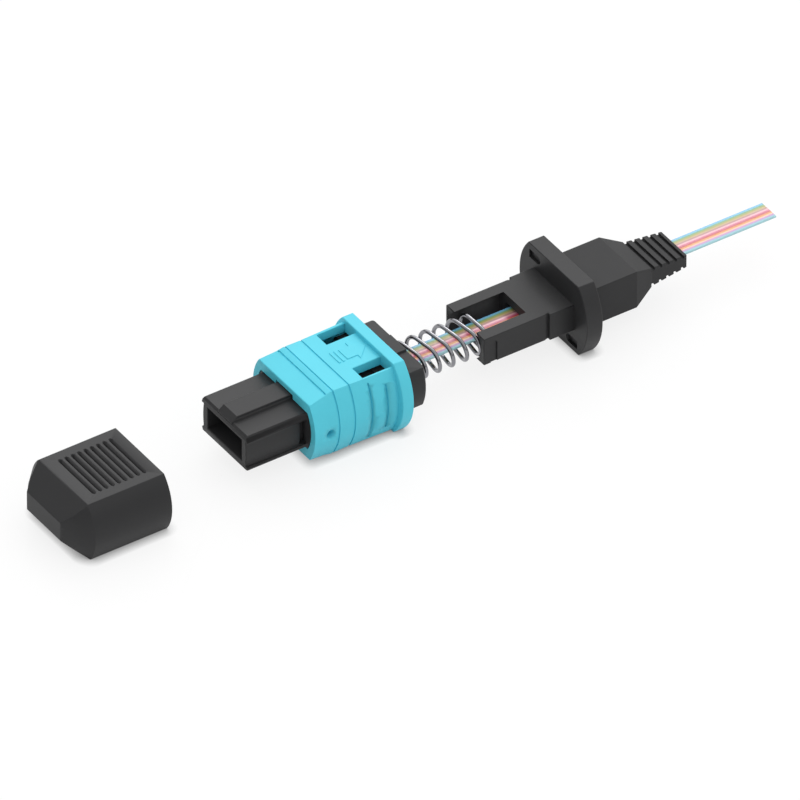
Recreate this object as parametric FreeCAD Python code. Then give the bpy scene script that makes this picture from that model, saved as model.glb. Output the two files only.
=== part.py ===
import FreeCAD, Part
import math
import os

# A multi-fibre push-on connector for a flat ribbon of twelve fibres, opened out along its axis.
# X runs along the connector from the nose's front face at 0 to the ribbon's cut end, Y runs
# across the flat of the ribbon, and Z is up from the ferrule's centre line. Millimetres.

Vector = FreeCAD.Vector

# Inner housing: nose, shoulder, waist and rear block
nose_reach = 9.1
nose_half_width = 4.9
nose_bulge = 5.5
waist_bulge = 4.98
nose_half_height = 2.81
nose_edge_chamfer = 0.28
key_width = 3.2
key_height = 0.7
key_bevel_length = 0.85
key_set_back = 0.05
key_root = 0.2
mouth_half_width = 3.95
mouth_half_height = 1.70
panel_half_width = 4.66
panel_bulge = 4.98
panel_top = 1.85
panel_bottom = -2.05
latch_notch_length = 0.85
latch_notch_depth = 0.45
shoulder_length = 1.3
shoulder_half_width = 5.25
shoulder_bulge = 6.1
rear_block_length = 5.89
rear_block_half_width = 5.85
rear_block_bulge = 6.5
rear_block_top = 3.1
rear_block_bottom = -2.85
rear_block_edge_radius = 0.35
housing_length = 26.6
band_width = 3.6
band_height = 0.28

# Ferrule and what carries it
ferrule_half_width = 3.2
ferrule_half_height = 1.25
ferrule_length = 8.0
ferrule_shoulder_length = 1.5
ferrule_shoulder_out = 0.3
ferrule_set_back = 2.8
ferrule_float = 2.7
throat_length = 1.2
glue_half_width_spare = 0.05
fibre_well_half_height = 0.42
fibre_well_overlap = 0.8
glue_window_length = 2.4
glue_window_overlap = 1.6
guide_hole_radius = 0.35
guide_hole_spacing = 4.6
seat_half_width = 3.5
seat_half_height = 2.3
seat_length = 2.5
seat_plate_length = 0.9
ferrule_boot_length = 6.6
ferrule_boot_half_width = 2.3
ferrule_boot_half_height = 0.95
ferrule_boot_seat = 1.4
ferrule_boot_plug_half_width = 1.9
ferrule_boot_lip = 0.3

# Fibres and ribbon
fibre_pitch = 0.25
coated_radius = 0.11
bare_radius = 0.0625
bare_length = 4.4
ribbon_edge = 0.2
ribbon_half_height = 0.16
ribbon_end = 83.6
fibre_count = 12
fine_rod_sides = 8

# Pull sleeve
sleeve_length = 14.4
sleeve_rim_length = 1.65
sleeve_rim_half_width = 5.86
sleeve_rim_top = 5.6
sleeve_rim_bottom = -5.4
sleeve_rim_bulge = 8.2
sleeve_roof = 3.55
sleeve_throat_length = 9.0
sleeve_slot_width = 3.9
sleeve_tooth_length = 1.9
sleeve_tooth_half_height = 1.2
sleeve_tooth_root = 0.15
window_start = 8.45
roof_room_lead = 0.6
window_inner = 2.93
window_outer = 5.3
top_groove = 2.57
ring_grooves = (3.6, 6.04)
side_grooves = (8.68, 11.08)
top_groove_half_width = 5.45
side_groove_tops = (4.36, 3.5)
groove_width = 0.26
groove_depth = 0.15
side_hole_radius = 0.65
side_hole_place = 2.45
side_hole_z = -0.4
side_hole_floor = 5.7

# Springs
coupling_wire_radius = 0.1
coupling_wire_sides = 6
coupling_coil_radius = 0.42
coupling_turns = 8
main_wire_radius = 0.28
main_wire_sides = 8
main_coil_half_width = 3.07
main_coil_half_height = 1.79
spring_in_housing = 3.85
main_spring_length = 16.3
main_spring_y = -0.1
main_spring_z = -0.25
main_turns = 9
closed_turn_pitch = 2.2
wire_bend_step = 30

# Spring push
spring_in_fork = 2.31
fork_half_width = 4.39
fork_half_height = 2.07
fork_length = 13.55
fork_bore_half_width = 3.66
fork_bore_half_height = 2.5
fork_bore_depth = 7.61
passage_half_width = 2.4
passage_half_height = 0.75
passage_length = 2.4
push_shoulder_length = 3.65
push_shoulder_half_width = 4.7
push_groove_width = 0.45
push_groove_depth = 0.15
arm_pocket_place = 1.04
arm_pocket_width = 1.0
arm_pocket_depth = 0.2
arm_pocket_top = 1.28
push_flange_length = 2.42
push_flange_half_width = 5.74
push_flange_top = 5.56
push_flange_bottom = -5.4
push_flange_bulge = 7.8
push_stub_length = 5.6
push_stub_half_width = 3.3
push_stub_half_height = 1.9
recess_length = 2.5
recess_height = 1.3
recess_depth = 0.4
recess_y = 4.25
recess_z = 3.96

# Ribbon boot
boot_box_length = 7.54
boot_half_width = 4.38
boot_half_height = 2.89
boot_taper_length = 3.1
boot_neck_half_width = 3.3
boot_neck_half_height = 1.45
boot_ribbed_length = 5.55
boot_end_half_width = 2.95
boot_end_half_height = 0.98
boot_rib_count = 5
boot_rib_pitch = 1.18
boot_rib_gap = 0.5
boot_rib_lead = 0.1
boot_rib_depth = 0.42

# Dust cap, taken off
cap_rear = -12.79
cap_length = 14.65
cap_taper_length = 3.0
cap_half_width = 5.62
cap_bottom_half_width = 6.3
cap_bulge = 7.47
cap_half_height = 4.18
cap_front_half_width = 3.85
cap_front_half_height = 1.45
cap_shoulder_place = 1.3
cap_shoulder_swell = 0.25
cap_seat_rise = 0.65
cap_grooves = 9
cap_groove_pitch = 0.955
cap_groove_width = 0.6
cap_groove_floor_width = 0.2
cap_groove_depth = 0.28
cap_groove_half_length = 4.2
cap_groove_first = 1.9

# Clearances
slide_gap = 0.12
fit_gap = 0.1
thin_gap = 0.05
fibre_gap = 0.005

# Places that follow from the sizes
sleeve_front = nose_reach
sleeve_rear = sleeve_front + sleeve_length
sleeve_rim_front = sleeve_rear - sleeve_rim_length
rear_block_half_height = (rear_block_top - rear_block_bottom) / 2
rear_block_z = (rear_block_top + rear_block_bottom) / 2
rear_block_front = housing_length - rear_block_length
shoulder_rear = nose_reach + shoulder_length
key_top = nose_half_height + key_height
floor_z = push_flange_bottom
main_spring_front = housing_length - spring_in_housing
main_spring_rear = main_spring_front + main_spring_length
fork_front = main_spring_rear - spring_in_fork
fork_rear = fork_front + fork_length
push_travel = fork_rear - housing_length
ferrule_front = ferrule_set_back
ferrule_rear = ferrule_front + ferrule_length
shoulder_half_y = ferrule_half_width + ferrule_shoulder_out
shoulder_half_z = ferrule_half_height + ferrule_shoulder_out
seat_rear = ferrule_rear + seat_length
coupling_spring_y = waist_bulge + slide_gap + coupling_coil_radius + coupling_wire_radius
ribbon_half_width = (fibre_count - 1) / 2 * fibre_pitch + coated_radius + ribbon_edge
ribbon_slot_half_width = ribbon_half_width + fit_gap
ribbon_slot_half_height = ribbon_half_height + fit_gap
cap_centre_z = floor_z + cap_half_height
cap_seated_rear = nose_reach - fit_gap
cap_shift = cap_seated_rear - cap_rear
cap_rise = cap_seat_rise - cap_centre_z


def block(x0, x1, half_y, half_z, y=0.0, z=0.0):
    """A box from x0 to x1, centred at y and z."""
    corner = Vector(x0, y - half_y, z - half_z)
    return Part.makeBox(x1 - x0, 2 * half_y, 2 * half_z, corner)


def line(start, end):
    return Part.LineSegment(start, end).toShape()


def arc(start, middle, end):
    return Part.Arc(start, middle, end).toShape()


def bulged_wire(x, flat, bulge, half_z, z=0.0, low_flat=None):
    """A section across X with a flat top and bottom and sides that bow outwards."""
    upper = z + half_z
    lower = z - half_z
    low = low_flat or flat
    edges = [
        line(Vector(x, -flat, upper), Vector(x, flat, upper)),
        arc(Vector(x, flat, upper), Vector(x, bulge, z), Vector(x, low, lower)),
        line(Vector(x, low, lower), Vector(x, -low, lower)),
        arc(Vector(x, -low, lower), Vector(x, -bulge, z), Vector(x, -flat, upper)),
    ]
    return Part.Wire(edges)


def rectangle_wire(x, half_y, half_z, z=0.0):
    """A rectangular section across X."""
    corners = [
        Vector(x, -half_y, z + half_z),
        Vector(x, half_y, z + half_z),
        Vector(x, half_y, z - half_z),
        Vector(x, -half_y, z - half_z),
    ]
    return Part.makePolygon(corners + corners[:1])


def oval_wire(x, half_y, half_z):
    """A section across X with straight top and bottom and round ends."""
    flat = half_y - half_z
    return bulged_wire(x, flat, half_y, half_z)


def bar(wire, length):
    """Extrudes a section across X by a length along X."""
    return Part.Face(wire).extrude(Vector(length, 0, 0))


def loft(wires):
    return Part.makeLoft(wires, True, True)


def side_prism(points, half_y, y=0.0):
    """Extrudes an outline of x and z points across Y."""
    corners = [Vector(x, y - half_y, z) for x, z in points]
    outline = Part.makePolygon(corners + corners[:1])
    return Part.Face(outline).extrude(Vector(0, 2 * half_y, 0))


def rod(x0, x1, radius, y=0.0, z=0.0):
    return Part.makeCylinder(radius, x1 - x0, Vector(x0, y, z), Vector(1, 0, 0))


def regular_corners(radius, sides):
    """The closed corners of a regular section across X that has a circle's area."""
    angle = 2 * math.pi / sides
    reach = radius * math.sqrt(angle / math.sin(angle))
    corners = [
        Vector(0, reach * math.cos(k * angle), reach * math.sin(k * angle)) for k in range(sides)
    ]
    return corners + corners[:1]


def fine_rod(x0, x1, radius, y):
    """A rod too fine for round sides, with a many-sided section of the same area."""
    outline = Part.makePolygon(regular_corners(radius, fine_rod_sides))
    outline.translate(Vector(x0, y, 0))
    return bar(outline, x1 - x0)


def union(shapes):
    joined = shapes[0].fuse(shapes[1:])
    return joined.removeSplitter()


def fibre_y(index):
    return ((fibre_count - 1) / 2 - index) * fibre_pitch


def side_panels():
    """What the nose's sunk side panels and the latch notches behind them take away."""
    panel_middle = (panel_top + panel_bottom) / 2
    panel_half_height = (panel_top - panel_bottom) / 2
    slab = block(-1, nose_reach, 2 * nose_bulge, panel_half_height, 0, panel_middle)
    core = bar(
        bulged_wire(-2, panel_half_width, panel_bulge, nose_half_height), nose_reach + 3
    )
    cuts = [slab.cut(core)]
    for side in (-1, 1):
        inner = panel_half_width - latch_notch_depth
        cuts.append(block(
            nose_reach - latch_notch_length,
            nose_reach,
            (nose_bulge - inner) / 2,
            panel_half_height,
            side * (nose_bulge + inner) / 2,
            panel_middle,
        ))
    return cuts


def make_inner_housing():
    nose = bar(bulged_wire(0, nose_half_width, nose_bulge, nose_half_height), shoulder_rear)
    waist = bar(
        bulged_wire(nose_reach, nose_half_width, waist_bulge, nose_half_height),
        rear_block_front - nose_reach,
    )
    front_edges = [
        edge for edge in nose.Edges
        if edge.BoundBox.XMax < 0.001 and edge.BoundBox.ZLength < 0.001
    ]
    nose = nose.makeChamfer(nose_edge_chamfer, front_edges)
    shoulder = bar(
        bulged_wire(nose_reach, shoulder_half_width, shoulder_bulge, nose_half_height),
        shoulder_length,
    )
    rear = bar(
        bulged_wire(
            rear_block_front,
            rear_block_half_width,
            rear_block_bulge,
            rear_block_half_height,
            rear_block_z,
        ),
        rear_block_length,
    )
    rear_edges = [
        edge for edge in rear.Edges
        if edge.BoundBox.XMin > housing_length - 0.001 and edge.BoundBox.ZLength > 1
    ]
    rear = rear.makeFillet(rear_block_edge_radius, rear_edges)
    key_front = key_set_back
    key = side_prism(
        [
            (key_front, nose_half_height - key_root),
            (key_front, nose_half_height),
            (key_front + key_bevel_length, key_top),
            (rear_block_front, key_top),
            (rear_block_front, nose_half_height - key_root),
        ],
        key_width / 2,
    )
    band_top = rear_block_top + band_height
    band = Part.makeBox(
        rear_block_length,
        band_width,
        band_top,
        Vector(rear_block_front, -band_width / 2, 0),
    )
    housing = union([nose, waist, shoulder, rear, key, band])

    cuts = side_panels()

    throat_rear = ferrule_rear - ferrule_shoulder_length - ferrule_float
    throat_front = throat_rear - throat_length
    seat_chamber_front = ferrule_rear - ferrule_float - fit_gap
    fork_seat = fork_front - push_travel - fit_gap
    chamber_half_z = seat_half_height + fit_gap
    cuts += [
        block(-1, throat_front, mouth_half_width, mouth_half_height),
        block(
            throat_front - 0.1,
            throat_rear + 0.1,
            ferrule_half_width + fit_gap,
            ferrule_half_height + fit_gap,
        ),
        block(
            throat_rear,
            seat_rear,
            shoulder_half_y + fit_gap,
            shoulder_half_z + fit_gap,
        ),
        block(
            seat_chamber_front,
            fork_seat + 0.1,
            seat_half_width + fit_gap,
            chamber_half_z,
        ),
        block(
            fork_seat,
            housing_length + 1,
            fork_half_width + fit_gap,
            chamber_half_z,
        ),
        block(
            housing_length - push_shoulder_length - fit_gap,
            housing_length + 1,
            push_shoulder_half_width + fit_gap,
            chamber_half_z,
        ),
    ]
    return housing.cut(cuts).removeSplitter()


def make_mt_ferrule():
    body = block(ferrule_front, ferrule_rear, ferrule_half_width, ferrule_half_height)
    shoulder = block(
        ferrule_rear - ferrule_shoulder_length, ferrule_rear, shoulder_half_y, shoulder_half_z
    )
    ferrule = union([body, shoulder])
    cuts = []
    for side in (-1, 1):
        guide_y = side * guide_hole_spacing / 2
        cuts.append(rod(ferrule_front - 1, ferrule_rear + 1, guide_hole_radius, guide_y))
    for index in range(fibre_count):
        hole = fine_rod(
            ferrule_front - 1,
            ferrule_front + bare_length + 0.5,
            bare_radius + fibre_gap,
            fibre_y(index),
        )
        cuts.append(hole)
    glue_half_width = ribbon_half_width + glue_half_width_spare
    bare_end = ferrule_front + bare_length
    fibre_well = block(
        bare_end - fibre_well_overlap, ferrule_rear, glue_half_width, fibre_well_half_height
    )
    glue_window = Part.makeBox(
        glue_window_length,
        2 * glue_half_width,
        ferrule_half_height + 1,
        Vector(bare_end - glue_window_overlap, -glue_half_width, 0),
    )
    boot_pocket = block(
        ferrule_rear - ferrule_boot_seat,
        ferrule_rear + 1,
        ferrule_boot_plug_half_width,
        ferrule_boot_half_height,
    )
    cuts += [fibre_well, glue_window, boot_pocket]
    return ferrule.cut(cuts).removeSplitter()


def make_ferrule_boot():
    front = ferrule_rear - ferrule_boot_seat + thin_gap
    inner = block(
        front,
        ferrule_rear + 0.1,
        ferrule_boot_plug_half_width - thin_gap,
        ferrule_boot_half_height - thin_gap,
    )
    rear = front + ferrule_boot_length
    tail = loft([
        rectangle_wire(
            ferrule_rear + thin_gap,
            ferrule_boot_half_width - thin_gap,
            ferrule_boot_half_height - thin_gap,
        ),
        rectangle_wire(
            rear, ribbon_half_width + ferrule_boot_lip, ribbon_half_height + ferrule_boot_lip
        ),
    ])
    boot = union([inner, tail])
    slot = block(
        front - 1, rear + 1, ribbon_half_width + thin_gap, ribbon_half_height + thin_gap
    )
    return boot.cut(slot)


def make_spring_seat():
    plate = bar(
        oval_wire(ferrule_rear + thin_gap, seat_half_width, seat_half_height),
        seat_length - thin_gap,
    )
    front_plate = block(
        ferrule_rear + thin_gap, ferrule_rear + seat_plate_length, seat_half_width, shoulder_half_z
    )
    passage = block(
        ferrule_rear - 1,
        seat_rear + 1,
        ferrule_boot_half_width + thin_gap,
        ferrule_boot_half_height + thin_gap,
    )
    return union([plate, front_plate]).cut(passage)


def fibre_solid(index):
    y = fibre_y(index)
    bare_end = ferrule_front + bare_length
    bare = fine_rod(ferrule_front, bare_end, bare_radius, y)
    coated = fine_rod(bare_end, ribbon_end, coated_radius, y)
    return union([bare, coated])


def make_ribbon_matrix():
    matrix_front = ferrule_rear - 1.0
    flat = ribbon_half_width - ribbon_half_height
    matrix = bar(
        bulged_wire(matrix_front, flat, ribbon_half_width, ribbon_half_height),
        ribbon_end - matrix_front,
    )
    bores = [
        fine_rod(matrix_front - 1, ribbon_end + 1, coated_radius + fibre_gap, fibre_y(index))
        for index in range(fibre_count)
    ]
    return matrix.cut(bores)


def sleeve_stations():
    """Outer sections of the sleeve: place, flat half width, bulge and half height."""
    return [
        (0.0, 5.80, 7.20, 4.38),
        (2.45, 5.55, 7.08, 4.75),
        (3.45, 5.48, 7.14, 5.02),
        (5.85, 5.50, 7.06, 4.95),
        (sleeve_length - sleeve_rim_length, 5.70, 7.12, 4.95),
    ]


def sleeve_section(place):
    """The sleeve's flat half width, bulge and half height at a place behind its front."""
    stations = sleeve_stations()
    for front, rear in zip(stations, stations[1:]):
        if place <= rear[0]:
            share = (place - front[0]) / (rear[0] - front[0])
            return [a + share * (b - a) for a, b in zip(front[1:], rear[1:])]
    return stations[-1][1:]


def sleeve_groove(place, keep_half_y, keep_top, keep_bottom):
    """A shallow groove round the sleeve, kept inside a box across the axis."""
    flat, bulge, half_z = sleeve_section(place + groove_width / 2)
    front = sleeve_front + place
    rear = front + groove_width
    core = bar(
        bulged_wire(front, flat - groove_depth, bulge - groove_depth, half_z - groove_depth),
        groove_width,
    )
    middle = (keep_top + keep_bottom) / 2
    slab = block(front, rear, keep_half_y, (keep_top - keep_bottom) / 2, 0, middle)
    return slab.cut(core)


def make_pull_sleeve():
    wires = [
        bulged_wire(sleeve_front + x, flat, bulge, half_z)
        for x, flat, bulge, half_z in sleeve_stations()
    ]
    body = loft(wires)
    rim = bar(
        bulged_wire(
            sleeve_rim_front,
            sleeve_rim_half_width,
            sleeve_rim_bulge,
            (sleeve_rim_top - sleeve_rim_bottom) / 2,
            (sleeve_rim_top + sleeve_rim_bottom) / 2,
        ),
        sleeve_rim_length,
    )
    sleeve = union([body, rim])
    throat = bar(
        bulged_wire(
            sleeve_front - 1,
            shoulder_half_width + slide_gap,
            shoulder_bulge + slide_gap,
            nose_half_height + slide_gap,
        ),
        sleeve_throat_length + 2,
    )
    cavity = bar(
        bulged_wire(
            sleeve_front + sleeve_throat_length,
            rear_block_half_width + slide_gap,
            rear_block_bulge + slide_gap,
            rear_block_half_height + slide_gap,
            rear_block_z,
        ),
        sleeve_length,
    )
    key_slot = Part.makeBox(
        sleeve_length + 2,
        sleeve_slot_width,
        key_top + slide_gap,
        Vector(sleeve_front - 1, -sleeve_slot_width / 2, 0),
    )
    roof_room = Part.makeBox(
        sleeve_length,
        2 * (window_outer + slide_gap),
        sleeve_roof,
        Vector(sleeve_front + window_start - roof_room_lead, -window_outer - slide_gap, 0),
    )
    cuts = [throat, cavity, key_slot, roof_room]
    beyond = sleeve_rim_bulge
    cuts.append(sleeve_groove(top_groove, top_groove_half_width, beyond, 0))
    cuts += [sleeve_groove(place, beyond, beyond, -beyond) for place in ring_grooves]
    cuts += [
        sleeve_groove(place, beyond, top, -top)
        for place, top in zip(side_grooves, side_groove_tops)
    ]
    for side in (-1, 1):
        window = block(
            sleeve_front + window_start,
            sleeve_rim_front,
            (window_outer - window_inner) / 2,
            sleeve_roof / 2,
            side * (window_outer + window_inner) / 2,
            sleeve_roof,
        )
        cuts.append(window)
    sleeve = sleeve.cut(cuts)
    teeth = []
    holes = []
    for side in (-1, 1):
        tooth_inner = waist_bulge + slide_gap
        tooth_outer = shoulder_bulge + slide_gap + sleeve_tooth_root
        tooth = block(
            shoulder_rear + thin_gap,
            shoulder_rear + thin_gap + sleeve_tooth_length,
            (tooth_outer - tooth_inner) / 2,
            sleeve_tooth_half_height,
            side * (tooth_outer + tooth_inner) / 2,
        )
        teeth.append(tooth)
        holes.append(Part.makeCylinder(
            side_hole_radius,
            sleeve_rim_bulge - side_hole_floor,
            Vector(sleeve_front + side_hole_place, side * side_hole_floor, side_hole_z),
            Vector(0, side, 0),
        ))
    return union([sleeve] + teeth).cut(holes)


def tangent_arc(start, apex, end):
    """The arc from start to end that is tangent to both legs through the apex."""
    middle = (start + end) * 0.5
    half_chord = (end - start).Length / 2
    rise = apex - middle
    sagitta = half_chord * math.tan(math.atan2(rise.Length, half_chord) / 2)
    crown = middle + rise * (sagitta / rise.Length)
    return arc(start, crown, end)


def smooth_bend(start, start_way, end, end_way):
    """Two tangent arcs that leave start along start_way and reach end along end_way."""
    across = end - start
    a = 2 * (start_way.dot(end_way) - 1)
    b = -2 * across.dot(start_way + end_way)
    c = across.dot(across)
    reach = (-b - math.sqrt(b * b - 4 * a * c)) / (2 * a)
    first = start + start_way * reach
    second = end - end_way * reach
    joint = (first + second) * 0.5
    return [tangent_arc(start, first, joint), tangent_arc(joint, second, end)]


def coil_path(x0, x1, turns, half_y, half_z, wire_radius, y=0.0, z=0.0):
    """The wire's centre line in a spring along X, with oval turns and closed end turns."""
    flat = half_y - half_z
    bend = math.pi * half_z
    lap = 2 * (2 * flat + bend)
    closed_pitch = closed_turn_pitch * wire_radius
    open_pitch = (x1 - x0 - 2 * wire_radius - 2 * closed_pitch) / (turns - 2)
    halves = 2 * turns
    edges = []
    x = x0 + wire_radius
    end = None
    for half in range(halves):
        closed = half < 2 or half >= halves - 2
        pitch = closed_pitch if closed else open_pitch
        side = 1 if half % 2 == 0 else -1
        way = Vector(pitch / lap, -side, 0)
        way.normalize()
        if end:
            x += (last_pitch + pitch) / 2 * bend / lap
        start = Vector(x, y + side * flat, z + side * half_z)
        if end:
            edges += smooth_bend(end, last_way, start, way)
        x += pitch * 2 * flat / lap
        end = Vector(x, y - side * flat, z + side * half_z)
        edges.append(line(start, end))
        last_way = way
        last_pitch = pitch
    return edges


def wire_along(edges, radius, sides):
    """A solid bar of a many-sided section along straight and arc edges that meet in tangents."""
    first = edges[0]
    way = first.tangentAt(first.FirstParameter)
    section = Part.makePolygon(regular_corners(radius, sides))
    section.Placement = FreeCAD.Placement(
        first.valueAt(first.FirstParameter),
        FreeCAD.Rotation(Vector(1, 0, 0), way),
    )
    rings = [section.copy()]
    for edge in edges:
        curve = edge.Curve
        if isinstance(curve, Part.Line):
            section.translate(edge.valueAt(edge.LastParameter) - edge.valueAt(edge.FirstParameter))
            rings.append(section.copy())
            continue
        degrees = math.degrees(edge.LastParameter - edge.FirstParameter)
        steps = math.ceil(degrees / wire_bend_step)
        for step in range(steps):
            section.rotate(curve.Center, curve.Axis, degrees / steps)
            rings.append(section.copy())
    return loft(rings)


def make_coupling_spring(side):
    path = coil_path(
        shoulder_rear + 2 * thin_gap + sleeve_tooth_length,
        rear_block_front - thin_gap,
        coupling_turns,
        coupling_coil_radius + thin_gap,
        coupling_coil_radius,
        coupling_wire_radius,
        side * coupling_spring_y,
    )
    return wire_along(path, coupling_wire_radius, coupling_wire_sides)


def make_main_spring():
    path = coil_path(
        main_spring_front,
        main_spring_rear,
        main_turns,
        main_coil_half_width,
        main_coil_half_height,
        main_wire_radius,
        main_spring_y,
        main_spring_z,
    )
    return wire_along(path, main_wire_radius, main_wire_sides)


def make_spring_push():
    fork = block(fork_front, fork_rear, fork_half_width, fork_half_height)
    shoulder = block(
        fork_rear - push_shoulder_length, fork_rear, push_shoulder_half_width, fork_half_height
    )
    flange_rear = fork_rear + push_flange_length
    flange = bar(
        bulged_wire(
            fork_rear,
            push_flange_half_width,
            push_flange_bulge,
            (push_flange_top - push_flange_bottom) / 2,
            (push_flange_top + push_flange_bottom) / 2,
        ),
        push_flange_length,
    )
    stub = block(
        flange_rear, flange_rear + push_stub_length, push_stub_half_width, push_stub_half_height
    )
    push = union([fork, shoulder, flange, stub])
    bore = bar(
        oval_wire(fork_front - 1, fork_bore_half_width, fork_bore_half_height),
        fork_bore_depth + 1,
    )
    bore_rear = fork_front + fork_bore_depth
    passage = bar(
        oval_wire(bore_rear - 1, passage_half_width, passage_half_height), passage_length + 1
    )
    ribbon_way = block(
        fork_front,
        flange_rear + push_stub_length + 1,
        ribbon_slot_half_width + fit_gap,
        ribbon_slot_half_height + fit_gap,
    )
    cuts = [bore, passage, ribbon_way]
    groove_rear = fork_rear - push_shoulder_length
    for side in (-1, 1):
        cuts.append(block(
            groove_rear - push_groove_width,
            groove_rear,
            push_groove_depth,
            fork_half_height + 1,
            side * fork_half_width,
        ))
        cuts.append(arm_pocket(side))
        cuts.append(flange_recess(side))
    return push.cut(cuts).removeSplitter()


def arm_pocket(side):
    """A shallow upright pocket with a round top on the outside of a fork arm."""
    radius = arm_pocket_width / 2
    middle_x = fork_front + arm_pocket_place + radius
    straight_top = arm_pocket_top - radius
    half_y = arm_pocket_depth
    y = side * fork_half_width
    below = -fork_half_height - 1
    trough = block(
        middle_x - radius,
        middle_x + radius,
        half_y,
        (straight_top - below) / 2,
        y,
        (straight_top + below) / 2,
    )
    crown = Part.makeCylinder(
        radius, 2 * half_y, Vector(middle_x, y - half_y, straight_top), Vector(0, 1, 0)
    )
    return union([trough, crown])


def flange_recess(side):
    """A blind recess in the flange's front face, square outside and round inside.

    The one at +Y is above the fork and the one at -Y is below it.
    """
    inner = recess_y - recess_length / 2 + recess_height / 2
    outer = recess_y + recess_length / 2
    square = block(
        fork_rear - 1,
        fork_rear + recess_depth,
        (outer - inner) / 2,
        recess_height / 2,
        side * (outer + inner) / 2,
        side * recess_z,
    )
    round_end = rod(
        fork_rear - 1,
        fork_rear + recess_depth,
        recess_height / 2,
        side * inner,
        side * recess_z,
    )
    return union([square, round_end])


def make_ribbon_boot():
    front = fork_rear + push_flange_length
    box_rear = front + boot_box_length
    neck = box_rear + boot_taper_length
    rear = neck + boot_ribbed_length
    box = block(front, box_rear, boot_half_width, boot_half_height)
    taper = loft([
        rectangle_wire(box_rear, boot_half_width, boot_half_height),
        rectangle_wire(neck, boot_neck_half_width, boot_neck_half_height),
    ])
    tail = loft([
        rectangle_wire(neck, boot_neck_half_width, boot_neck_half_height),
        rectangle_wire(rear, boot_end_half_width, boot_end_half_height),
    ])
    boot = union([box, taper, tail])
    cuts = [
        block(
            front - 1,
            front + push_stub_length + thin_gap,
            push_stub_half_width + thin_gap,
            push_stub_half_height + thin_gap,
        ),
        block(front, rear + 1, ribbon_slot_half_width, ribbon_slot_half_height),
    ]
    drop = (boot_neck_half_height - boot_end_half_height) / boot_ribbed_length
    for index in range(boot_rib_count):
        gap_front = neck - boot_rib_lead + index * boot_rib_pitch
        surface = boot_neck_half_height - drop * (gap_front - neck)
        for level in (-1, 1):
            gap = block(
                gap_front,
                gap_front + boot_rib_gap,
                boot_neck_half_width + 1,
                boot_rib_depth,
                0,
                level * surface,
            )
            cuts.append(gap)
    return boot.cut(cuts).removeSplitter()


def cap_groove_outline(x, z, width, half_length):
    """A closed outline of a groove in plan, centred at x, with its ends cut to a taper."""
    half_width = width / 2
    straight = half_length - half_width
    corners = []
    for along, across in ((-1, -1), (1, -1), (1, 1), (-1, 1)):
        full = Vector(x + along * half_width, across * straight, z)
        tip = Vector(x + along * half_width / 2, across * half_length, z)
        corners += [full, tip] if along == across else [tip, full]
    return Part.makePolygon(corners + corners[:1])


def cap_groove(x, top):
    """A grip groove across the cap's top, with sloping walls down to a narrow floor."""
    wall = (cap_groove_width - cap_groove_floor_width) / 2
    return Part.makeLoft(
        [
            cap_groove_outline(
                x,
                top - cap_groove_depth,
                cap_groove_floor_width,
                cap_groove_half_length - wall,
            ),
            cap_groove_outline(x, top, cap_groove_width, cap_groove_half_length),
        ],
        True,
        True,
    )


def make_dust_cap():
    cap_front = cap_rear - cap_length
    taper_rear = cap_front + cap_taper_length
    body = bar(
        bulged_wire(
            taper_rear,
            cap_half_width,
            cap_bulge,
            cap_half_height,
            cap_centre_z,
            cap_bottom_half_width,
        ),
        cap_rear - taper_rear,
    )
    share = cap_shoulder_place / cap_taper_length
    middle_width = cap_front_half_width + share * (cap_half_width - cap_front_half_width)
    middle_width += cap_shoulder_swell
    middle_bulge = middle_width + share * (cap_bulge - cap_half_width)
    middle_height = cap_front_half_height + share * (cap_half_height - cap_front_half_height)
    front = loft([
        bulged_wire(
            cap_front,
            cap_front_half_width,
            cap_front_half_width + 0.02,
            cap_front_half_height,
            cap_centre_z,
        ),
        bulged_wire(
            cap_front + cap_shoulder_place,
            middle_width,
            middle_bulge,
            middle_height,
            cap_centre_z,
            middle_width + share * (cap_bottom_half_width - cap_half_width),
        ),
        bulged_wire(
            taper_rear,
            cap_half_width,
            cap_bulge,
            cap_half_height,
            cap_centre_z,
            cap_bottom_half_width,
        ),
    ])
    cap = union([front, body])

    slope = cap_rise / cap_shift
    roof_gap = thin_gap
    corner_x = key_set_back + key_bevel_length
    deep_x = corner_x - cap_shift
    deep_z = key_top - cap_rise + roof_gap
    mouth_z = deep_z + slope * (cap_rear + 1 - deep_x)
    cavity_front = -cap_shift - fit_gap
    cavity_floor = -nose_half_height - cap_rise - thin_gap
    cavity = side_prism(
        [
            (cavity_front, cavity_floor),
            (cavity_front, deep_z),
            (deep_x, deep_z),
            (cap_rear + 1, mouth_z),
            (cap_rear + 1, cavity_floor),
        ],
        nose_bulge + fit_gap,
    )
    cuts = [cavity]
    top = cap_centre_z + cap_half_height
    for index in range(cap_grooves):
        cuts.append(cap_groove(cap_rear - cap_groove_first - index * cap_groove_pitch, top))
    return cap.cut(cuts)


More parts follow.
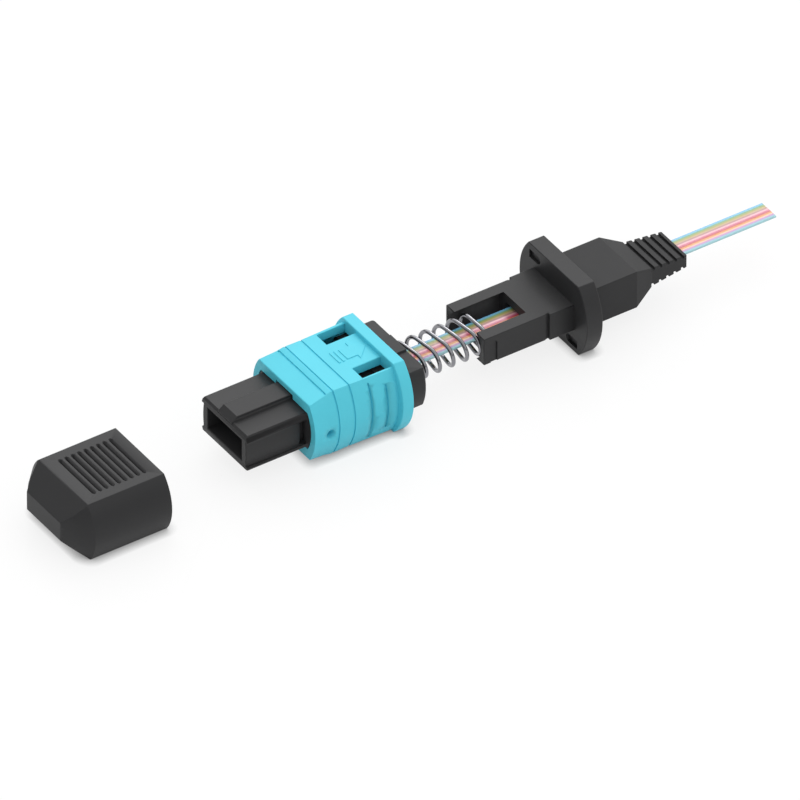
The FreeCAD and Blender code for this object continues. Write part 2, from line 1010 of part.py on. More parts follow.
def main():
    os.makedirs("parts", exist_ok=True)
    pieces = {
        "dust_cap": make_dust_cap(),
        "inner_housing": make_inner_housing(),
        "mt_ferrule": make_mt_ferrule(),
        "ferrule_boot": make_ferrule_boot(),
        "spring_seat": make_spring_seat(),
        "pull_sleeve": make_pull_sleeve(),
        "coupling_spring_left": make_coupling_spring(1),
        "coupling_spring_right": make_coupling_spring(-1),
        "main_spring": make_main_spring(),
        "spring_push": make_spring_push(),
        "ribbon_boot": make_ribbon_boot(),
        "ribbon_matrix": make_ribbon_matrix(),
    }
    for index in range(fibre_count):
        pieces["fibre_%02d" % (index + 1)] = fibre_solid(index)
    for name, shape in pieces.items():
        shape.exportStep("parts/%s.step" % name)
        box = shape.BoundBox
        print("%-22s solids %d valid %s volume %.3f x %.2f..%.2f y %.2f..%.2f z %.2f..%.2f" % (
            name, len(shape.Solids), shape.isValid(), shape.Volume,
            box.XMin, box.XMax, box.YMin, box.YMax, box.ZMin, box.ZMax,
        ))


main()
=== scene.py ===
import math

import bmesh
import bpy
from bpy.props import FloatProperty, FloatVectorProperty, IntProperty, PointerProperty, StringProperty
from bpy.types import Operator, Panel, PropertyGroup
from mathutils import Matrix, Vector


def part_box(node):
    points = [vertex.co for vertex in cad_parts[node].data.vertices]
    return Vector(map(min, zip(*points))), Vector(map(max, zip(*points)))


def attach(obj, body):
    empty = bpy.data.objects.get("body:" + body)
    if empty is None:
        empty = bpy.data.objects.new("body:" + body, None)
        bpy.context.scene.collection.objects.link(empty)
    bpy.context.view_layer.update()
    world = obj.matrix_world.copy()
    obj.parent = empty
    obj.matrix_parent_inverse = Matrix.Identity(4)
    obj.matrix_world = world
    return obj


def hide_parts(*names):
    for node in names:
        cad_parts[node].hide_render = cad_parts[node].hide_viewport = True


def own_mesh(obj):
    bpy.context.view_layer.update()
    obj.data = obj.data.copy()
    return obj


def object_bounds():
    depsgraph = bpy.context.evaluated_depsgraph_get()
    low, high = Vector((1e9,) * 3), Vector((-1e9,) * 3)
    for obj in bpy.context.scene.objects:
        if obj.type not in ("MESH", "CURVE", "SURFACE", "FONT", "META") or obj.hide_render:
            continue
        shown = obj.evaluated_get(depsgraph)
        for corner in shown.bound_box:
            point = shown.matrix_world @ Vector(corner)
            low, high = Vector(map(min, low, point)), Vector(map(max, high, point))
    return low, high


bl_info = {
    "name": "Ribbon fibre connector",
    "version": (1, 0, 0),
    "blender": (4, 5, 0),
    "location": "View3D > Sidebar > Connector",
    "description": "Dresses a multi-fibre push-on connector, opened out along its ribbon",
    "category": "Object",
}

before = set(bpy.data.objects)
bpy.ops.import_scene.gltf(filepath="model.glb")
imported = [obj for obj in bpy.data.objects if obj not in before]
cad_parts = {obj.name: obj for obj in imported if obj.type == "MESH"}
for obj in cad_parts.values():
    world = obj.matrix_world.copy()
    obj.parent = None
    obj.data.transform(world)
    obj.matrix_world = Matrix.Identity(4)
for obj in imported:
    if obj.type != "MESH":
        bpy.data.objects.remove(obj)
cad_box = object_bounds()

MM = 0.001
WHITE = (1, 1, 1, 1)
FIBRES = ["fibre_%02d" % number for number in range(1, 13)]
BLACK_ABS = "black ABS, spark-eroded mould"
AQUA_ABS = "aqua ABS, spark-eroded mould"

# The way from the part towards both lamps, which the spring wire mirrors
LIGHT_FROM = (0.4357, 0.6537, 0.6187)

# The sockets of a Mix node that blends two colours
FACTOR = 0
FIRST = 6
SECOND = 7
BLEND = 2

PLASTIC_IOR = 1.5
FILLED_IOR = 1.55

# How a moulding's edges are found and rounded, with angles in degrees
SAME_CORNER = 0.002 * MM
FLAT_ANGLE = 0.5
EDGE_ANGLE = 40
BOOT_EDGE_ANGLE = 35
RUN_TURN = 25
WALL_IN_RADII = 4
SHADING_ANGLE = 32
ROD_SHADING_ANGLE = 40
EDGE_SEGMENTS = 2
GROOVE_REACH = 0.02 * MM

# How deep the pull arrow stands in the sleeve's roof, in mm, and the rounding of its rim
ARROW_ROOT = 0.02
ARROW_RELIEF = 0.05 * MM

# Points in a turn of wire, and sides or steps of the round sections
MAIN_STEPS = 64
SIDE_STEPS = 40
WIRE_SIDES = 14
FIBRE_SIDES = 16
RIBBON_EDGE_STEPS = 8

# How far the coating stops short of the fibres' cut ends
COATING_SET_BACK = 0.01 * MM

# The camera's sensor in mm and the far end of its view in metres
SENSOR = 36
VIEW_END = 20

# What a property that runs from 0 to 1 has in common with the others of its kind
SHARE = {"min": 0.0, "max": 1.0, "subtype": "FACTOR"}


def linear(colour):
    """A '#rrggbb' sRGB colour as linear red, green, blue and alpha."""
    parts = [int(colour[place:place + 2], 16) / 255 for place in (1, 3, 5)]
    return [part / 12.92 if part <= 0.04045 else ((part + 0.055) / 1.055) ** 2.4 for part in parts] + [1.0]


def toned(colour, strength):
    """A '#rrggbb' sRGB colour as a linear one, made darker or lighter by this factor."""
    return [min(1.0, channel * strength) for channel in linear(colour)[:3]] + [1.0]


def add(tree, kind, inputs=(), **settings):
    """Adds a node. Inputs are values, sockets, or nodes whose first output is meant."""
    node = tree.nodes.new(kind)
    for name, value in settings.items():
        setattr(node, name, value)
    pairs = inputs.items() if isinstance(inputs, dict) else enumerate(inputs)
    for place, value in pairs:
        socket = node.inputs[place]
        if isinstance(value, bpy.types.Node):
            value = value.outputs[0]
        if isinstance(value, bpy.types.NodeSocket):
            tree.links.new(value, socket)
        else:
            socket.default_value = value
    return node


def blank_material(name):
    material = bpy.data.materials.new(name)
    material.use_nodes = True
    material.node_tree.nodes.clear()
    return material, material.node_tree


def finish_material(tree, shader):
    add(tree, "ShaderNodeOutputMaterial", (shader,))


def moulded_plastic(name, colour, settings):
    """ABS from a spark-eroded mould: a fine even grain, a broad soft sheen and slightly uneven colour."""
    material, tree = blank_material(name)
    place = add(tree, "ShaderNodeTexCoord").outputs["Object"]
    # The grain is drawn coarser than a real mould's, which is too fine to show
    grain_scale = 1 / (settings.grain * MM)
    flow_scale = 1 / (settings.flow_mark * MM)
    grain = add(tree, "ShaderNodeTexNoise", {"Vector": place, "Scale": grain_scale, "Detail": 2.0})
    flow = add(tree, "ShaderNodeTexNoise", {"Vector": place, "Scale": flow_scale, "Detail": 3.0})
    deep = toned(colour, 1 - settings.unevenness)
    pale = toned(colour, 1 + settings.unevenness)
    shade = add(tree, "ShaderNodeMix", {FACTOR: flow, FIRST: deep, SECOND: pale}, data_type="RGBA")
    rough = add(tree, "ShaderNodeMapRange", {
        "Value": grain,
        "To Min": settings.roughness - settings.roughness_spread,
        "To Max": settings.roughness + settings.roughness_spread,
    })
    bump = add(tree, "ShaderNodeBump", {
        "Height": grain,
        "Strength": settings.grain_strength,
        "Distance": settings.grain * MM / 10,
    })
    shader = add(tree, "ShaderNodeBsdfPrincipled", {
        "Base Color": shade.outputs[BLEND],
        "Roughness": rough,
        "IOR": PLASTIC_IOR,
        "Specular IOR Level": settings.specular,
        "Normal": bump,
    })
    finish_material(tree, shader)
    return material


def moulded_rubber(name, colour, roughness, specular):
    """Thermoplastic rubber: dull and soft to the eye, with a faint bloom and a fine pitted skin."""
    # The pits are drawn coarser than real ones, which are too fine to show
    pit = 0.12 * MM
    pit_depth = 0.012 * MM
    bloom_patch = 3.0 * MM
    material, tree = blank_material(name)
    place = add(tree, "ShaderNodeTexCoord").outputs["Object"]
    skin = add(tree, "ShaderNodeTexNoise", {"Vector": place, "Scale": 1 / pit, "Detail": 3.0})
    bloom = add(tree, "ShaderNodeTexNoise", {"Vector": place, "Scale": 1 / bloom_patch, "Detail": 4.0})
    deep = toned(colour, 0.9)
    pale = toned(colour, 1.12)
    shade = add(tree, "ShaderNodeMix", {FACTOR: bloom, FIRST: deep, SECOND: pale}, data_type="RGBA")
    bump = add(tree, "ShaderNodeBump", {"Height": skin, "Strength": 0.25, "Distance": pit_depth})
    shader = add(tree, "ShaderNodeBsdfPrincipled", {
        "Base Color": shade.outputs[BLEND],
        "Roughness": roughness,
        "IOR": PLASTIC_IOR,
        "Specular IOR Level": specular,
        "Normal": bump,
    })
    finish_material(tree, shader)
    return material


def drawn_steel(name, colour, roughness):
    """Hard-drawn spring wire: bare bright steel that mirrors the lamps and the white room."""
    # The drawing marks are coarser than real ones, which are too fine to show
    drawing_mark = 0.09 * MM
    material, tree = blank_material(name)
    place = add(tree, "ShaderNodeTexCoord").outputs["Object"]
    marks = add(tree, "ShaderNodeTexNoise", {"Vector": place, "Scale": 1 / drawing_mark, "Detail": 2.0})
    rough = add(tree, "ShaderNodeMapRange", {
        "Value": marks,
        "To Min": roughness * 0.75,
        "To Max": roughness * 1.3,
    })
    shader = add(tree, "ShaderNodeBsdfPrincipled", {
        "Base Color": linear(colour),
        "Metallic": 1.0,
        "Roughness": rough,
    })
    finish_material(tree, shader)
    return material


def inked_fibre(name, colour):
    """Cured ink on an acrylate coating: glossy, with the colour a little uneven along the fibre."""
    ink_patch = 1.5 * MM
    material, tree = blank_material(name)
    place = add(tree, "ShaderNodeTexCoord").outputs["Object"]
    ink = add(tree, "ShaderNodeTexNoise", {"Vector": place, "Scale": 1 / ink_patch, "Detail": 2.0})
    tones = {FACTOR: ink, FIRST: toned(colour, 0.92), SECOND: linear(colour)}
    shade = add(tree, "ShaderNodeMix", tones, data_type="RGBA")
    shader = add(tree, "ShaderNodeBsdfPrincipled", {
        "Base Color": shade.outputs[BLEND],
        "Roughness": 0.3,
        "IOR": PLASTIC_IOR,
    })
    finish_material(tree, shader)
    return material


def clear_coating(name, haze, roughness, half_width, colours):
    """Clear acrylate that binds the ribbon, with a soft gloss. It spreads each fibre's colour."""
    streak_length = 2.0 * MM
    material, tree = blank_material(name)
    place = add(tree, "ShaderNodeTexCoord").outputs["Object"]
    across = add(tree, "ShaderNodeSeparateXYZ", (place,)).outputs["Y"]
    share = add(tree, "ShaderNodeMapRange", {
        "Value": across,
        "From Min": half_width,
        "From Max": -half_width,
    })
    spread = add(tree, "ShaderNodeValToRGB", (share,))
    spread.color_ramp.interpolation = "EASE"
    stops = spread.color_ramp.elements
    # A new ramp has two stops already
    for index, colour in enumerate(colours):
        stop = stops[index] if index < 2 else stops.new(1.0)
        stop.position = (index + 0.5) / len(colours)
        stop.color = linear(colour)
    streak = add(tree, "ShaderNodeTexNoise", {"Vector": place, "Scale": 1 / streak_length, "Detail": 2.0})
    rough = add(tree, "ShaderNodeMapRange", {
        "Value": streak,
        "To Min": roughness * 0.8,
        "To Max": roughness * 1.2,
    })
    clear = add(tree, "ShaderNodeBsdfTransparent", {"Color": WHITE})
    skin = add(tree, "ShaderNodeBsdfPrincipled", {
        "Base Color": spread,
        "Roughness": rough,
        "IOR": PLASTIC_IOR,
    })
    body = add(tree, "ShaderNodeMixShader", (haze, clear, skin))
    finish_material(tree, body)
    return material


def ground_ferrule(name, colour):
    """Glass-filled polymer, moulded and polished: even, dark and faintly speckled by the filler."""
    filler_grain = 0.05 * MM
    material, tree = blank_material(name)
    place = add(tree, "ShaderNodeTexCoord").outputs["Object"]
    filler = add(tree, "ShaderNodeTexNoise", {"Vector": place, "Scale": 1 / filler_grain, "Detail": 1.0})
    tones = {FACTOR: filler, FIRST: linear(colour), SECOND: toned(colour, 1.6)}
    shade = add(tree, "ShaderNodeMix", tones, data_type="RGBA")
    shader = add(tree, "ShaderNodeBsdfPrincipled", {
        "Base Color": shade.outputs[BLEND],
        "Roughness": 0.35,
        "IOR": FILLED_IOR,
    })
    finish_material(tree, shader)
    return material


def new_object(name, data):
    thing = bpy.data.objects.new(name, data)
    bpy.context.scene.collection.objects.link(thing)
    return thing


def finished_mesh(name, shape):
    """Turns a shape made with bmesh into a mesh."""
    mesh = bpy.data.meshes.new(name)
    shape.to_mesh(mesh)
    shape.free()
    return mesh


def dress_node(thing, body, nodes, material):
    """Gives a finished piece its material, its body and the nodes that it stands for."""
    if material:
        thing.data.materials.clear()
        thing.data.materials.append(material)
    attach(thing, body)
    if nodes:
        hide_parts(*nodes)


def mean_width(face):
    """The width of a rectangle that is long beside its width and has the face's area and rim."""
    return 2 * face.calc_area() / face.calc_perimeter()


def edge_runs(edges, turn):
    """Groups of edges that follow on from each other with little turn, in degrees."""
    least = math.cos(math.radians(turn))
    left = set(edges)
    runs = []
    while left:
        run = [left.pop()]
        for edge in run:
            for corner in edge.verts:
                ahead = (corner.co - edge.other_vert(corner).co).normalized()
                for after in [other for other in corner.link_edges if other in left]:
                    if ahead.dot((after.other_vert(corner).co - corner.co).normalized()) > least:
                        left.discard(after)
                        run.append(after)
        runs.append(run)
    return runs


def softened_copy(node, name, sizes, angle):
    """A copy of a solid with its outer edges rounded, where the walls beside them are wide enough.

    Only an edge with at least this angle between its walls, in degrees, is rounded.
    """
    shape = bmesh.new()
    shape.from_mesh(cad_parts[node].data)
    bmesh.ops.remove_doubles(shape, verts=shape.verts, dist=SAME_CORNER)
    bmesh.ops.dissolve_limit(
        shape, angle_limit=math.radians(FLAT_ANGLE), verts=shape.verts, edges=shape.edges
    )
    weight = shape.edges.layers.float.new("bevel_weight_edge")
    outer = [edge for edge in shape.edges if len(edge.link_faces) == 2 and edge.is_convex]
    outer = [edge for edge in outer if edge.calc_face_angle() >= math.radians(angle)]
    for run in edge_runs(outer, RUN_TURN):
        length = sum(edge.calc_length() for edge in run)
        narrowest = min(mean_width(face) for edge in run for face in edge.link_faces)
        if length >= sizes.shortest * MM and narrowest > WALL_IN_RADII * sizes.edge * MM:
            for edge in run:
                edge[weight] = 1.0
    mesh = finished_mesh(name, shape)
    mesh.shade_smooth()
    mesh.set_sharp_from_angle(angle=math.radians(SHADING_ANGLE))
    thing = new_object(name, mesh)
    bevel = thing.modifiers.new("edge radius", "BEVEL")
    bevel.limit_method = "WEIGHT"
    bevel.width = sizes.edge * MM
    bevel.segments = EDGE_SEGMENTS
    bevel.use_clamp_overlap = False
    even = thing.modifiers.new("even shading", "WEIGHTED_NORMAL")
    even.keep_sharp = True
    return thing


def deepen_cap_grooves(mesh, floor_z, extra):
    """Lowers the floors of the cap's grip grooves, so that they read as dark as real ones."""
    for corner in mesh.vertices:
        if abs(corner.co.z - floor_z) < GROOVE_REACH:
            corner.co.z -= extra


def deepen_side_grooves(mesh, front, rear, extra):
    """Moves in the floors of the grooves in the sleeve's two sides between these places."""
    floors = set()
    for face in mesh.polygons:
        places = [mesh.vertices[index].co.x for index in face.vertices]
        inside = min(places) > front - GROOVE_REACH and max(places) < rear + GROOVE_REACH
        looks_sideways = abs(face.normal.y) > 0.5
        if inside and looks_sideways:
            floors.update(face.vertices)
    for index in floors:
        corner = mesh.vertices[index].co
        corner.y -= math.copysign(extra, corner.y)


def arrow_outlines(sizes):
    """The outlines of the pull arrow's bars, and of its shaft with the head, in mm."""
    outlines = []
    half = sizes.bar_length
    for index in range(sizes.bars):
        front = sizes.front + index * sizes.bar_pitch
        rear = front + sizes.bar_width
        outlines.append([(front, -half), (rear, -half), (rear, half), (front, half)])
    outlines.append([
        (sizes.shaft_front, -sizes.shaft_half),
        (sizes.head_front, -sizes.shaft_half),
        (sizes.head_front, -sizes.head_half),
        (sizes.tip, 0.0),
        (sizes.head_front, sizes.head_half),
        (sizes.head_front, sizes.shaft_half),
        (sizes.shaft_front, sizes.shaft_half),
    ])
    return outlines


def raised_marks(name, outlines, roof, height):
    """Flat marks with these outlines that stand up from a roof. All sizes are in mm."""
    shape = bmesh.new()
    for outline in outlines:
        corners = [shape.verts.new((x * MM, y * MM, (roof - ARROW_ROOT) * MM)) for x, y in outline]
        face = shape.faces.new(corners)
        made = bmesh.ops.extrude_face_region(shape, geom=[face])["geom"]
        lifted = [item for item in made if isinstance(item, bmesh.types.BMVert)]
        bmesh.ops.translate(shape, verts=lifted, vec=(0, 0, (height + ARROW_ROOT) * MM))
    bmesh.ops.recalc_face_normals(shape, faces=shape.faces)
    mark = new_object(name, finished_mesh(name, shape))
    bevel = mark.modifiers.new("soft relief", "BEVEL")
    bevel.width = ARROW_RELIEF
    bevel.segments = EDGE_SEGMENTS
    return mark


def flat_ribbon(name, low, high):
    """The ribbon's coating between these corners: a flat strip with round edges."""
    edge = high.z
    flat = high.y - edge
    outline = []
    for step in range(RIBBON_EDGE_STEPS + 1):
        angle = math.pi / 2 - math.pi * step / RIBBON_EDGE_STEPS
        outline.append((flat + edge * math.cos(angle), edge * math.sin(angle)))
    outline += [(-y, z) for y, z in reversed(outline)]
    shape = bmesh.new()
    ends = (low.x, high.x - COATING_SET_BACK)
    rings = [[shape.verts.new((x, y, z)) for y, z in outline] for x in ends]
    for place in range(len(outline)):
        after = (place + 1) % len(outline)
        shape.faces.new((rings[0][place], rings[0][after], rings[1][after], rings[1][place]))
    for ring in rings:
        shape.faces.new(ring)
    bmesh.ops.recalc_face_normals(shape, faces=shape.faces)
    return new_object(name, finished_mesh(name, shape))


def set_input(modifier, tree, name, value):
    """Sets a modifier's input by the identifier of the socket that has this name."""
    for item in tree.interface.items_tree:
        if item.item_type == "SOCKET" and item.in_out == "INPUT" and item.name == name:
            modifier[item.identifier] = value
            return
    raise KeyError(name)


def node_group(name, sizes):
    """An empty geometry tree with named inputs, each with a default, and one geometry output."""
    tree = bpy.data.node_groups.new(name, "GeometryNodeTree")
    for label, (kind, value) in sizes.items():
        socket = tree.interface.new_socket(label, in_out="INPUT", socket_type=kind)
        if value is not None:
            socket.default_value = value
    tree.interface.new_socket("Geometry", in_out="OUTPUT", socket_type="NodeSocketGeometry")
    given = tree.nodes.new("NodeGroupInput").outputs
    return tree, given


def end_tree(tree, geometry, given):
    """Ends a tree in real geometry with its material."""
    real = add(tree, "GeometryNodeRealizeInstances", (geometry,))
    coated = add(tree, "GeometryNodeSetMaterial", {"Geometry": real, "Material": given["Material"]})
    add(tree, "NodeGroupOutput", (coated,))


def grown(name, tree, values):
    """Runs a geometry tree with these inputs and gives its result as a plain mesh object."""
    seed = new_object(name + "_seed", bpy.data.meshes.new(name + "_seed"))
    modifier = seed.modifiers.new("shape", "NODES")
    modifier.node_group = tree
    for label, value in values.items():
        set_input(modifier, tree, label, value)
    bpy.context.view_layer.update()
    graph = bpy.context.evaluated_depsgraph_get()
    mesh = bpy.data.meshes.new_from_object(seed.evaluated_get(graph))
    mesh.name = name
    seed.modifiers.remove(modifier)
    bpy.data.objects.remove(seed)
    return new_object(name, mesh)


def coil_tree():
    """A compression spring along X with straight-sided oval turns and closed end turns."""
    length = "NodeSocketFloat"
    tree, given = node_group("oval coil", {
        "Front": (length, 0.0),
        "Rear": (length, 0.016),
        "Turns": ("NodeSocketInt", 9),
        "Steps": ("NodeSocketInt", 64),
        "Flat": (length, 0.001),
        "Bend": (length, 0.002),
        "Wire": (length, 0.00025),
        "Closed Pitch": (length, 0.0005),
        "Y": (length, 0.0),
        "Z": (length, 0.0),
        "Material": ("NodeSocketMaterial", None),
    })
    math_node = "ShaderNodeMath"

    # How far along the wire each point lies, in runs of a straight and the bend after it
    bend_run = add(tree, math_node, (given["Bend"], math.pi), operation="MULTIPLY")
    half_run = add(tree, math_node, (given["Flat"], 2.0, bend_run), operation="MULTIPLY_ADD")
    lap = add(tree, math_node, (half_run, 2.0), operation="MULTIPLY")
    count = add(tree, math_node, (given["Turns"], given["Steps"]), operation="MULTIPLY")
    points = add(tree, math_node, (count, 1.0), operation="ADD")
    whole_run = add(tree, math_node, (lap, given["Turns"]), operation="MULTIPLY")
    whole_run = add(tree, math_node, (whole_run, bend_run), operation="SUBTRACT")
    index = add(tree, "GeometryNodeInputIndex")
    share = add(tree, math_node, (index, count), operation="DIVIDE")
    run = add(tree, math_node, (share, whole_run), operation="MULTIPLY")

    # Its place on the oval, with every second half turn mirrored
    half = add(tree, math_node, (run, half_run), operation="DIVIDE")
    half = add(tree, math_node, (half,), operation="FLOOR")
    within = add(tree, math_node, (run, half_run), operation="MODULO")
    odd = add(tree, math_node, (half, 2.0), operation="MODULO")
    side = add(tree, math_node, (odd, -2.0, 1.0), operation="MULTIPLY_ADD")
    straight = add(tree, math_node, (given["Flat"], 2.0), operation="MULTIPLY")
    on_straight = add(tree, math_node, (within, straight), operation="MINIMUM")
    on_bend = add(tree, math_node, (within, on_straight), operation="SUBTRACT")
    turned = add(tree, math_node, (on_bend, given["Bend"]), operation="DIVIDE")
    sine = add(tree, math_node, (turned,), operation="SINE")
    cosine = add(tree, math_node, (turned,), operation="COSINE")
    out = add(tree, math_node, (sine, given["Bend"]), operation="MULTIPLY")
    across = add(tree, math_node, (given["Flat"], on_straight), operation="SUBTRACT")
    across = add(tree, math_node, (across, out), operation="SUBTRACT")
    y = add(tree, math_node, (across, side, given["Y"]), operation="MULTIPLY_ADD")
    up = add(tree, math_node, (cosine, given["Bend"]), operation="MULTIPLY")
    z = add(tree, math_node, (up, side, given["Z"]), operation="MULTIPLY_ADD")

    # Its place along the axis, where the pitch eases from the closed turns to the open ones
    two_wires = add(tree, math_node, (given["Wire"], 2.0), operation="MULTIPLY")
    body = add(tree, math_node, (given["Rear"], given["Front"]), operation="SUBTRACT")
    body = add(tree, math_node, (body, two_wires), operation="SUBTRACT")
    open_turns = add(tree, math_node, (given["Turns"], 2.0), operation="SUBTRACT")
    closed_part = add(tree, math_node, (given["Closed Pitch"], 2.0), operation="MULTIPLY")
    open_part = add(tree, math_node, (body, closed_part), operation="SUBTRACT")
    bend_share = add(tree, math_node, (bend_run, lap), operation="DIVIDE")
    open_part = add(
        tree, math_node, (bend_share, given["Closed Pitch"], open_part), operation="MULTIPLY_ADD"
    )
    open_pitch = add(tree, math_node, (open_part, open_turns), operation="DIVIDE")
    gain = add(tree, math_node, (open_pitch, given["Closed Pitch"]), operation="SUBTRACT")
    gain_slope = add(tree, math_node, (gain, lap), operation="DIVIDE")
    closed_slope = add(tree, math_node, (given["Closed Pitch"], lap), operation="DIVIDE")
    ramp_in = add(tree, math_node, (lap, bend_run), operation="SUBTRACT")
    ramp_out = add(tree, math_node, (whole_run, lap), operation="SUBTRACT")
    x = add(tree, math_node, (given["Front"], given["Wire"]), operation="ADD")
    x = add(tree, math_node, (run, closed_slope, x), operation="MULTIPLY_ADD")
    for start, sign in ((ramp_in, 1.0), (ramp_out, -1.0)):
        past = add(tree, math_node, (run, start), operation="SUBTRACT")
        past = add(tree, math_node, (past, 0.0), operation="MAXIMUM")
        ramp = add(tree, math_node, (past, bend_run), operation="MINIMUM")
        beyond = add(tree, math_node, (past, ramp), operation="SUBTRACT")
        square = add(tree, math_node, (ramp, ramp), operation="MULTIPLY")
        eased = add(tree, math_node, (square, bend_run), operation="DIVIDE")
        eased = add(tree, math_node, (eased, 0.5, beyond), operation="MULTIPLY_ADD")
        signed = add(tree, math_node, (gain_slope, sign), operation="MULTIPLY")
        x = add(tree, math_node, (eased, signed, x), operation="MULTIPLY_ADD")

    # The wire itself, with a round section
    start_line = add(tree, "GeometryNodeMeshLine", {"Count": points})
    place = add(tree, "ShaderNodeCombineXYZ", (x, y, z))
    path = add(tree, "GeometryNodeSetPosition", {"Geometry": start_line, "Position": place})
    curve = add(tree, "GeometryNodeMeshToCurve", (path,))
    section = add(
        tree, "GeometryNodeCurvePrimitiveCircle", {"Resolution": WIRE_SIDES, "Radius": given["Wire"]}
    )
    wire = add(
        tree, "GeometryNodeCurveToMesh", {"Curve": curve, "Profile Curve": section, "Fill Caps": True}
    )
    end_tree(tree, wire, given)
    return tree


def winding(turns, steps, flat, bend, wire, closed_pitch):
    """The inputs of the coil's tree for one kind of spring. Lengths are in mm."""
    return {
        "Turns": turns,
        "Steps": steps,
        "Flat": flat * MM,
        "Bend": bend * MM,
        "Wire": wire * MM,
        "Closed Pitch": closed_pitch * (wire * MM),
    }


def strand_tree():
    """One fibre of the ribbon: a bare glass front and a thicker inked coating behind it."""
    length = "NodeSocketFloat"
    tree, given = node_group("fibre strand", {
        "Front": (length, 0.003),
        "Coat Start": (length, 0.007),
        "Rear": (length, 0.083),
        "Y": (length, 0.0),
        "Bare Radius": (length, 0.0000625),
        "Coat Radius": (length, 0.00011),
        "Material": ("NodeSocketMaterial", None),
    })
    tubes = []
    for start, end, radius in (
        ("Front", "Coat Start", "Bare Radius"),
        ("Coat Start", "Rear", "Coat Radius"),
    ):
        first = add(tree, "ShaderNodeCombineXYZ", (given[start], given["Y"], 0.0))
        last = add(tree, "ShaderNodeCombineXYZ", (given[end], given["Y"], 0.0))
        axis = add(tree, "GeometryNodeCurvePrimitiveLine", {"Start": first, "End": last})
        section = add(
            tree, "GeometryNodeCurvePrimitiveCircle", {"Resolution": FIBRE_SIDES, "Radius": given[radius]}
        )
        tubes.append(add(
            tree, "GeometryNodeCurveToMesh", {"Curve": axis, "Profile Curve": section, "Fill Caps": True}
        ))
    both = add(tree, "GeometryNodeJoinGeometry", (tubes[0],))
    tree.links.new(tubes[1].outputs[0], both.inputs[0])
    end_tree(tree, both, given)
    return tree


def smooth_but_ends(thing):
    """Shades a wire, a fibre or the ribbon's coating smooth and keeps its cut ends crisp."""
    thing.data.shade_smooth()
    thing.data.set_sharp_from_angle(angle=math.radians(ROD_SHADING_ANGLE))


class CONNECTOR_PG_plastics(PropertyGroup):
    """Colours and finish of the mouldings, their edges, and how much deeper the scene cuts grooves."""

    black: StringProperty(name="Black", description="Colour of the black mouldings", default="#2e2e2f")
    aqua: StringProperty(name="Aqua", description="Colour of the pull sleeve", default="#59d0e4")
    ferrule: StringProperty(name="Ferrule", description="Colour of the ferrule", default="#3c3c3e")
    soft: StringProperty(name="Soft rubber", description="Colour of the ferrule's boot", default="#303031")
    roughness: FloatProperty(
        name="Roughness", description="Roughness of the plastics", default=0.48, **SHARE
    )
    roughness_spread: FloatProperty(
        name="Roughness spread", description="Change of roughness over the grain", default=0.06, **SHARE
    )
    specular: FloatProperty(
        name="Specular", description="Gloss level of the plastics", default=0.25, **SHARE
    )
    boot_roughness: FloatProperty(
        name="Boot roughness", description="Roughness of the ribbon boot", default=0.6, **SHARE
    )
    soft_roughness: FloatProperty(
        name="Soft roughness", description="Roughness of the ferrule's boot", default=0.7, **SHARE
    )
    rubber_specular: FloatProperty(
        name="Rubber specular", description="Gloss level of both boots", default=0.26, **SHARE
    )
    grain: FloatProperty(name="Grain", description="Spacing of the mould's grain, in mm", default=0.14)
    grain_strength: FloatProperty(
        name="Grain strength", description="Depth of the grain", default=0.22, **SHARE
    )
    flow_mark: FloatProperty(
        name="Flow marks", description="Spacing of the flow marks, in mm", default=6.0
    )
    unevenness: FloatProperty(
        name="Unevenness", description="Colour change in flow marks", default=0.05, **SHARE
    )
    edge: FloatProperty(name="Edge radius", description="Rounding of outer edges, in mm", default=0.1)
    shortest: FloatProperty(
        name="Shortest edge", description="Shorter edges stay sharp, in mm", default=0.35
    )
    groove: FloatProperty(
        name="Groove depth", description="Depth of the cap's grooves, in mm", default=0.28
    )
    groove_extra: FloatProperty(
        name="Extra depth", description="What the scene adds to it, in mm", default=0.3
    )
    side_grooves: FloatVectorProperty(
        name="Side grooves",
        description="Where the side grooves start behind the sleeve's front, in mm",
        default=(8.68, 11.08),
        size=2,
    )
    side_groove: FloatProperty(
        name="Side groove width", description="Width of a side groove, in mm", default=0.26
    )
    side_groove_extra: FloatProperty(
        name="Side groove extra", description="Depth that the scene adds to it, in mm", default=0.14
    )


class CONNECTOR_PG_arrow(PropertyGroup):
    """Sizes of the plain pull arrow on the sleeve."""

    front: FloatProperty(name="First bar", description="Place of the first bar, in mm", default=16.73)
    bars: IntProperty(name="Bars", description="Number of bars before the arrow", default=2)
    bar_pitch: FloatProperty(name="Bar pitch", description="Spacing of the bars, in mm", default=0.62)
    bar_length: FloatProperty(name="Bar length", description="Half length of a bar, in mm", default=1.2)
    bar_width: FloatProperty(name="Bar width", description="Width of a bar, in mm", default=0.3)
    shaft_front: FloatProperty(
        name="Shaft front", description="Where the shaft starts, in mm", default=18.05
    )
    shaft_half: FloatProperty(
        name="Shaft half width", description="Half width of the shaft, in mm", default=1.1
    )
    head_front: FloatProperty(name="Head front", description="Where the head starts, in mm", default=19.6)
    head_half: FloatProperty(
        name="Head half width", description="Half width of the head, in mm", default=1.86
    )
    tip: FloatProperty(name="Tip", description="Where the arrow ends, in mm", default=21.5)
    height: FloatProperty(name="Height", description="Height of the raised arrow, in mm", default=0.1)


